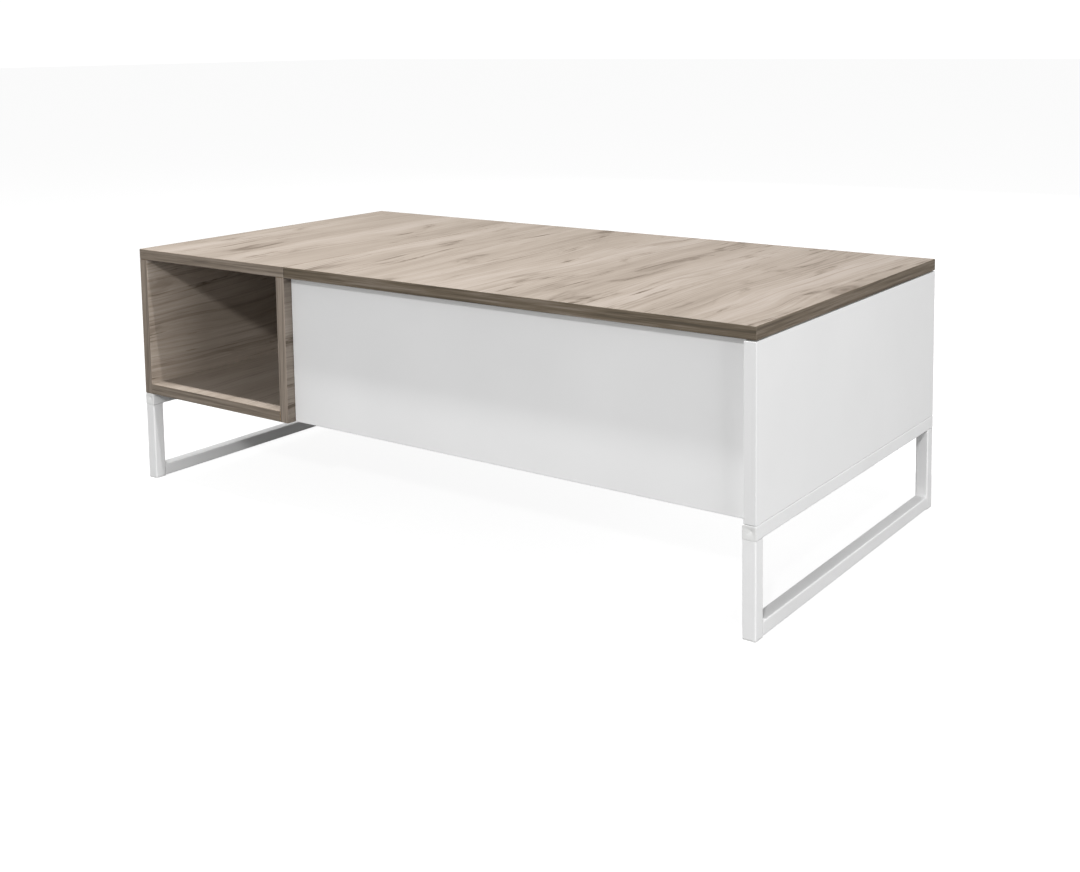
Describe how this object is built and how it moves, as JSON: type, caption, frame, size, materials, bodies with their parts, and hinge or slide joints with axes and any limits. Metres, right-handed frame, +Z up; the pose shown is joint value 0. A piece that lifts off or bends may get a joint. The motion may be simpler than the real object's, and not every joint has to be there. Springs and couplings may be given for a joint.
{
  "type": "lift top coffee table",
  "caption": "Low coffee table with an open oak cubby at one end and, at the other, white storage under an oak top that lifts up and forward, on two white square-tube sled frames.",
  "frame": {"origin": "middle of the footprint, on the floor", "axes": "+Z up; front, where the cubby opens and the top comes forward, at -Y; +X along the length, towards the white end panel"},
  "size_m": [1.2, 0.6, 0.405],
  "materials": {
    "oak": "satin oak laminate on chipboard, matching edge band",
    "white_board": "white melamine on chipboard, matching edge band",
    "powder_coat": "white powder coat on steel tube",
    "white_plastic": "moulded, fine matt",
    "screw_zinc": "bright zinc plate",
    "black_steel": "black electrophoretic paint on pressed steel",
    "spring_steel": "zinc-plated spring wire",
    "bumper": "clear soft plastic pad"
  },
  "bodies": {
    "carcass": {"cubby_top": "oak", "cubby_bottom": "oak", "cubby_left_side": "oak", "cubby_right_side": "oak", "cubby_back": "oak", "end_panel": "white_board", "front_panel": "white_board", "back_panel": "white_board", "storage_floor": "white_board", "left_top_rail": "powder_coat", "left_bottom_rail": "powder_coat", "left_front_leg": "powder_coat", "left_back_leg": "powder_coat", "right_top_rail": "powder_coat", "right_bottom_rail": "powder_coat", "right_front_leg": "powder_coat", "right_back_leg": "powder_coat", "left_rail_cap_front": "white_plastic", "left_rail_cap_back": "white_plastic", "left_front_foot": "white_plastic", "left_back_foot": "white_plastic", "right_rail_cap_front": "white_plastic", "right_rail_cap_back": "white_plastic", "right_front_foot": "white_plastic", "right_back_foot": "white_plastic", "left_frame_screw_front": "screw_zinc", "left_frame_screw_middle": "screw_zinc", "left_frame_screw_back": "screw_zinc", "right_frame_screw_front": "screw_zinc", "right_frame_screw_middle": "screw_zinc", "right_frame_screw_back": "screw_zinc", "left_rear_lower_pin": "screw_zinc", "left_front_lower_pin": "screw_zinc", "right_rear_lower_pin": "screw_zinc", "right_front_lower_pin": "screw_zinc", "left_base_plate": "black_steel", "right_base_plate": "black_steel", "left_spring": "spring_steel", "right_spring": "spring_steel", "bumper_front_left": "bumper", "bumper_front_right": "bumper", "bumper_back_left": "bumper", "bumper_back_right": "bumper"},
    "main_arms": {"left_main_arm": "black_steel", "right_main_arm": "black_steel", "tie_bar": "black_steel"},
    "left_front_arm": {"left_front_arm": "black_steel"},
    "right_front_arm": {"right_front_arm": "black_steel"},
    "lift_top": {"lift_top": "oak", "left_top_bracket": "black_steel", "right_top_bracket": "black_steel", "left_rear_upper_pin": "screw_zinc", "left_front_upper_pin": "screw_zinc", "right_rear_upper_pin": "screw_zinc", "right_front_upper_pin": "screw_zinc"}
  },
  "joints": [
    {"name": "lift_hinge", "type": "hinge", "parent": "carcass", "child": "main_arms", "pos_m": [0, -0.1, 0.2888], "axis": [1, 0, 0], "range_deg": [0, 95], "stiffness_Nm_per_rad": 5, "springref_deg": 95.11, "deforming": ["left_spring", "right_spring"]},
    {"name": "left_front_arm_hinge", "type": "hinge", "parent": "carcass", "child": "left_front_arm", "pos_m": [-0.235, -0.16, 0.3238], "axis": [1, 0, 0], "range_deg": [0, 95]},
    {"name": "right_front_arm_hinge", "type": "hinge", "parent": "carcass", "child": "right_front_arm", "pos_m": [0.575, -0.16, 0.3238], "axis": [1, 0, 0], "range_deg": [0, 95]},
    {"name": "top_level_hinge", "type": "hinge", "parent": "main_arms", "child": "lift_top", "pos_m": [0, 0.11666, 0.327], "axis": [1, 0, 0], "range_deg": [-95, 0]}
  ],
  "couplings": [
    {"joint": "left_front_arm_hinge", "follows": "lift_hinge", "ratio": 1},
    {"joint": "right_front_arm_hinge", "follows": "lift_hinge", "ratio": 1},
    {"joint": "top_level_hinge", "follows": "lift_hinge", "ratio": -1}
  ]
}
